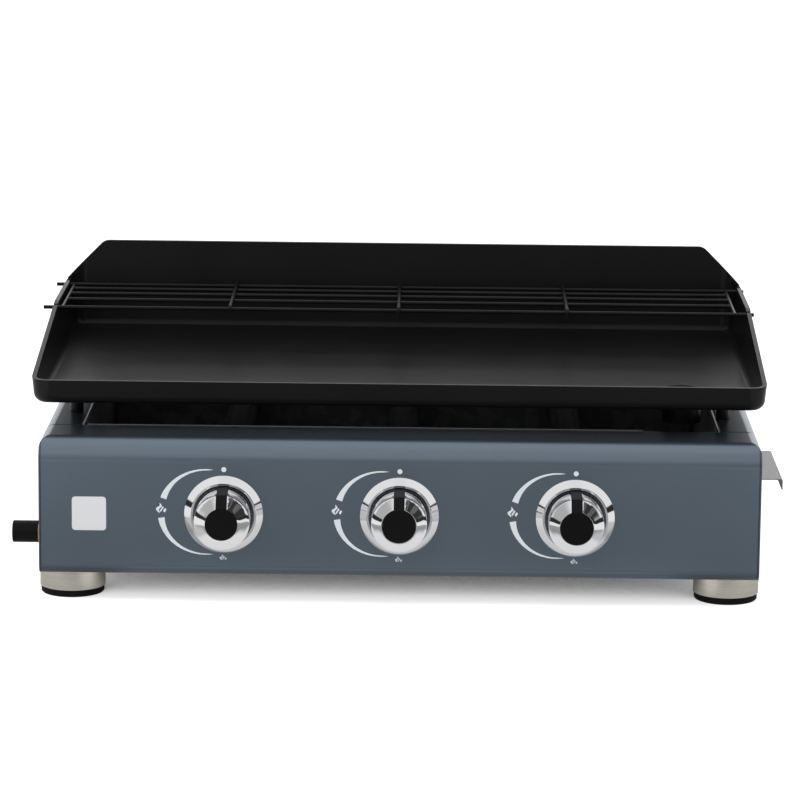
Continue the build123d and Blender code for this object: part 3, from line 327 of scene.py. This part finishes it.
# Printed marks round the knobs, in millimetres from a knob's axis

mark_lift = 0.06 * mm
mark_thick = 0.03 * mm
arc_middle = (-16.0, 1.5)
arc_wide = 42.6
arc_tall = 38.9
arc_tip = 0.55 * pi
arc_steps = 48
arc_thin = 1.1
arc_swell = 4.7
arc_taper = 1.7
tip_length = 1 / 12
tip_round = 0.6
high_arc_cut = 14.6
low_arc_cut = -4.5
dot_place = (0.1, 40.1)
dot_radius = 2.25
dot_steps = 32
flame_place = (-55.7, 0.6)
small_flame_place = (-0.6, -41.9)
small_flame_scale = (0.70, 0.58)

# The three tongues of a flame, in millimetres from its foot
tongues = {
    "a": [
        (-1.25, -0.35), (-3.4, 1.35), (-4.4, 3.3), (-3.4, 4.65), (-1.8, 5.55), (-1.0, 6.8), (-1.25, 8.7),
        (0.0, 7.7), (0.9, 6.1), (0.0, 4.75), (-1.35, 3.3), (-1.8, 2.05), (-1.1, 0.9),
    ],
    "b": [
        (-0.2, 0.8), (-0.9, 1.7), (-0.2, 2.7), (0.6, 4.1), (1.25, 5.6), (2.5, 4.65), (1.9, 3.4), (0.9, 2.05),
        (0.45, 1.0),
    ],
    "c": [
        (2.95, 0.2), (2.15, 1.6), (2.6, 2.5), (3.4, 3.6), (4.55, 3.6), (4.8, 2.85), (4.3, 1.6), (3.85, 0.55),
    ],
}


def print_mark(name, outline, knob):
    """A thin printed shape on the fascia. The outline is in millimetres from the knob's axis."""
    low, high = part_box(f"knob_bezel_{knob}")
    centre = (low + high) / 2
    shape = bmesh.new()
    ring = [
        shape.verts.new((centre.x + x * mm, fascia_y - mark_lift, centre.z + z * mm)) for x, z in outline
    ]
    face = shape.faces.new(ring)
    face.normal_update()
    if face.normal.y > 0:
        face.normal_flip()
    back = bmesh.ops.extrude_face_region(shape, geom=[face])
    moved = [item for item in back["geom"] if isinstance(item, bmesh.types.BMVert)]
    bmesh.ops.translate(shape, verts=moved, vec=(0, mark_thick, 0))
    bmesh.ops.recalc_face_normals(shape, faces=shape.faces)
    mesh = bpy.data.meshes.new(f"{name}_{knob}")
    shape.to_mesh(mesh)
    shape.free()
    piece = add_object(f"{name}_{knob}", mesh)
    piece.data.materials.append(ink)
    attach(piece, "chassis")


def crescent(cut, side):
    """An arc that is thick at a level cut beside the knob and runs out to a point over or under it."""
    outer, inner = [], []
    start = (cut - arc_middle[1]) / arc_tall
    for i in range(arc_steps + 1):
        share = i / arc_steps
        angle = start + (side * arc_tip - start) * share
        body = arc_thin + arc_swell * (1 - share) ** arc_taper
        thick = body * min(1, (1 - share) / tip_length) ** tip_round
        outer.append((arc_middle[0] - arc_wide * cos(angle), arc_middle[1] + arc_tall * sin(angle)))
        inner.append((
            arc_middle[0] - (arc_wide - thick) * cos(angle),
            arc_middle[1] + (arc_tall - thick) * sin(angle),
        ))
    return outer + inner[-2::-1]


def smooth_outline(points, steps=6):
    """A closed curve through some points."""
    line = []
    count = len(points)
    for i in range(count):
        before, start, end, after = (Vector(points[(i + k) % count]) for k in (-1, 0, 1, 2))
        for j in range(steps):
            t = j / steps
            line.append(tuple(
                0.5 * (2 * start + (end - before) * t + (2 * before - 5 * start + 4 * end - after) * t * t
                       + (3 * start - before - 3 * end + after) * t ** 3)
            ))
    return line


def placed(outline, foot, scale=(1, 1)):
    """An outline scaled and moved to a place."""
    return [(foot[0] + x * scale[0], foot[1] + z * scale[1]) for x, z in outline]


unit_circle = [(cos(2 * pi * i / dot_steps), sin(2 * pi * i / dot_steps)) for i in range(dot_steps)]
marks = {
    "off_dot": placed(unit_circle, dot_place, (dot_radius, dot_radius)),
    "high_arc": crescent(high_arc_cut, 1),
    "low_arc": crescent(low_arc_cut, -1),
}
for label, tongue in tongues.items():
    flame = smooth_outline(tongue)
    marks[f"high_flame_{label}"] = placed(flame, flame_place)
    marks[f"low_flame_{label}"] = placed(flame, small_flame_place, small_flame_scale)

for place in places:
    for name, outline in marks.items():
        print_mark(name, outline, place)


# A thin zinc strip lies along the rear edge of the front flange and shows as a thin light line

strip_left = -281.7 * mm
strip_right = 217.6 * mm
strip_back = fascia_y + 66.6 * mm
strip_deep = 1.2 * mm
strip_tall = 0.6 * mm
strip_low = fascia_high.z
strip_corners = [
    (x, y, z)
    for x in (strip_left, strip_right)
    for y in (strip_back - strip_deep, strip_back)
    for z in (strip_low, strip_low + strip_tall)
]
strip_faces = [(0, 1, 3, 2), (4, 6, 7, 5), (0, 4, 5, 1), (2, 3, 7, 6), (0, 2, 6, 4), (1, 5, 7, 3)]
strip_mesh = bpy.data.meshes.new("flange_edge")
strip_mesh.from_pydata(strip_corners, [], strip_faces)
strip = add_object("flange_edge", strip_mesh)
strip.data.materials.append(slot_looks["zinc_fixings"])
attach(strip, "chassis")


# Floor: white to the camera, with the object's shadow. A span is where a change starts and where it is full.

floor_half = 14.0
floor_grey = 0.40
cover_reach = 0.3
cover_falloff = 24.0
near_glow_level = 0.65
far_glow_level = 0.35
far_glow_span = (0.2, 0.55)
mirror_glow_level = 0.6
under_knobs_span = (fascia_y - 0.10, fascia_y - 0.06)
outer_knobs_span = (0.27, 0.23)
outer_knobs_level = 0.5
beside_span = (0.39, 0.48)

floor_mesh = bpy.data.meshes.new("floor")
floor_mesh.from_pydata(
    [(-floor_half, -floor_half, 0), (floor_half, -floor_half, 0),
     (floor_half, floor_half, 0), (-floor_half, floor_half, 0)],
    [], [(0, 1, 2, 3)],
)
floor = add_object("floor", floor_mesh)
floor_look = bpy.data.materials.new("floor_white")
floor_look.use_nodes = True
floor_tree = floor_look.node_tree
floor_tree.nodes.clear()
floor_diffuse = add_node(floor_tree, "BsdfDiffuse", Color=(floor_grey, floor_grey, floor_grey, 1))

# The glow that makes the floor white fades where the object covers it, so its shadow stays
open_share = add_node(floor_tree, "AmbientOcclusion", {"samples": 24}, Distance=cover_reach).outputs["AO"]
covered = math_node(floor_tree, "POWER", 2.0, math_node(floor_tree, "MULTIPLY", open_share, -cover_falloff))
near_glow = math_node(
    floor_tree, "MULTIPLY", math_node(floor_tree, "SUBTRACT", 1.0, covered), near_glow_level
)
far_glow = ramp(floor_tree, open_share, *far_glow_span, 0.0, far_glow_level)
uncovered = math_node(floor_tree, "ADD", near_glow, far_glow)

# In the chrome the table top is bright under the knobs and beside the object
floor_coords = add_node(floor_tree, "TexCoord").outputs["Object"]
floor_spot = add_node(floor_tree, "SeparateXYZ", Vector=floor_coords)
floor_aside = math_node(floor_tree, "ABSOLUTE", floor_spot.outputs["X"])
under_knobs = math_node(
    floor_tree, "MULTIPLY",
    ramp(floor_tree, floor_spot.outputs["Y"], *under_knobs_span),
    ramp(floor_tree, floor_aside, *outer_knobs_span, outer_knobs_level, 1.0),
)
beside = ramp(floor_tree, floor_aside, *beside_span)
floor_mirror = math_node(
    floor_tree, "MULTIPLY", math_node(floor_tree, "MAXIMUM", under_knobs, beside), mirror_glow_level
)
floor_path = add_node(floor_tree, "LightPath")
floor_seen = math_node(
    floor_tree, "ADD",
    floor_path.outputs["Is Camera Ray"],
    math_node(floor_tree, "MULTIPLY", floor_path.outputs["Is Glossy Ray"], floor_mirror),
)
floor_strength = math_node(floor_tree, "MULTIPLY", floor_seen, uncovered)
floor_glow = add_node(floor_tree, "Emission", Strength=floor_strength)
floor_sum = add_node(floor_tree, "AddShader")
feed(floor_tree, floor_sum.inputs[0], floor_diffuse.outputs[0])
feed(floor_tree, floor_sum.inputs[1], floor_glow.outputs[0])
add_node(floor_tree, "OutputMaterial", Surface=floor_sum.outputs[0])
floor.data.materials.append(floor_look)


# Studio: white to the camera. The object sees light behind, beside and above it, and in front a dark room
# with a pale wall on its left, a strip straight ahead that is dim below, and dark low lines to the left
# and right.
# A span is of the direction's X, Y or Z, from where a change starts to where it is full.

side_level = 0.95
front_span = (-0.28, -0.38)
clutter_grain = 5.0
clutter_span = (0.5, 0.62)
clutter_levels = (0.04, 0.16)
wall_span = (0.28, 0.08)
wall_light_span = (-0.6, -0.15)
wall_level = 0.52
low_line_height = (0.20, 0.14)
low_line_aside = (0.5, 0.65)
low_line_level = 0.03
ahead_aside = (0.30, 0.12)
ahead_span = (0.0, -0.2)
ahead_height = (0.04, 0.45)
ahead_levels = (0.22, 0.90)

world = bpy.data.worlds.new("studio")
scene.world = world
world.use_nodes = True
sky = world.node_tree
sky.nodes.clear()
towards = add_node(sky, "TexCoord").outputs["Generated"]
direction = add_node(sky, "SeparateXYZ", Vector=towards).outputs
front = ramp(sky, direction["Y"], *front_span)
clutter = ramp(sky, noise(sky, towards, clutter_grain, detail=2.0), *clutter_span, *clutter_levels)
wall = math_node(
    sky, "MULTIPLY",
    ramp(sky, direction["X"], *wall_span),
    ramp(sky, direction["X"], *wall_light_span, wall_level, side_level),
)
room = math_node(sky, "MAXIMUM", clutter, wall)
level = blend_colours(sky, front, (side_level,) * 3, room)
aside = math_node(sky, "ABSOLUTE", direction["X"])
low_line = math_node(
    sky, "MULTIPLY",
    ramp(sky, direction["Z"], *low_line_height),
    ramp(sky, aside, *low_line_aside),
)
level = blend_colours(sky, low_line, level, (low_line_level,) * 3)
straight_ahead = math_node(
    sky, "MULTIPLY",
    ramp(sky, aside, *ahead_aside),
    ramp(sky, direction["Y"], *ahead_span),
)
dimmed = ramp(sky, direction["Z"], *ahead_height, *ahead_levels)
level = blend_colours(sky, straight_ahead, level, dimmed)
sky_path = add_node(sky, "LightPath")
level = blend_colours(sky, sky_path.outputs["Is Camera Ray"], level, (1.0, 1.0, 1.0))
sky_light = add_node(sky, "Background", Color=level)
add_node(sky, "OutputWorld", Surface=sky_light.outputs[0])


# A large soft lamp in front lights the fascia without showing in the chrome

fill = bpy.data.lights.new("fill", "AREA")
fill.shape = "RECTANGLE"
fill.size = 2.4
fill.size_y = 1.4
fill.energy = 30.0
fill_lamp = add_object("fill", fill)
fill_lamp.location = (-0.3, fascia_y - 2.2, 1.2)
fill_aim = Vector((0, fascia_y, 0.1)) - fill_lamp.location
fill_lamp.rotation_euler = fill_aim.to_track_quat("-Z", "Y").to_euler()
fill_lamp.visible_glossy = False
fill_lamp.visible_camera = False


# Camera: where the photograph was taken from, with a long lens and a slight roll

camera_place = Vector((0.02678, fascia_y - 3.3963, 0.8576))
camera_yaw = -0.008031
camera_pitch = 0.1953
camera_roll = 0.01004
camera = bpy.data.cameras.new("camera")
camera.lens = 176.85
camera.sensor_width = 36.0
camera.clip_end = 60.0
forward = Vector((
    sin(camera_yaw) * cos(camera_pitch),
    cos(camera_yaw) * cos(camera_pitch),
    -sin(camera_pitch),
))
level_right = Vector((cos(camera_yaw), -sin(camera_yaw), 0))
level_up = level_right.cross(forward)
right = cos(camera_roll) * level_right + sin(camera_roll) * level_up
up = cos(camera_roll) * level_up - sin(camera_roll) * level_right
turn = Matrix((right, up, -forward)).transposed()
camera_object = add_object("camera", camera)
camera_object.matrix_world = Matrix.Translation(camera_place) @ turn.to_4x4()
scene.camera = camera_object
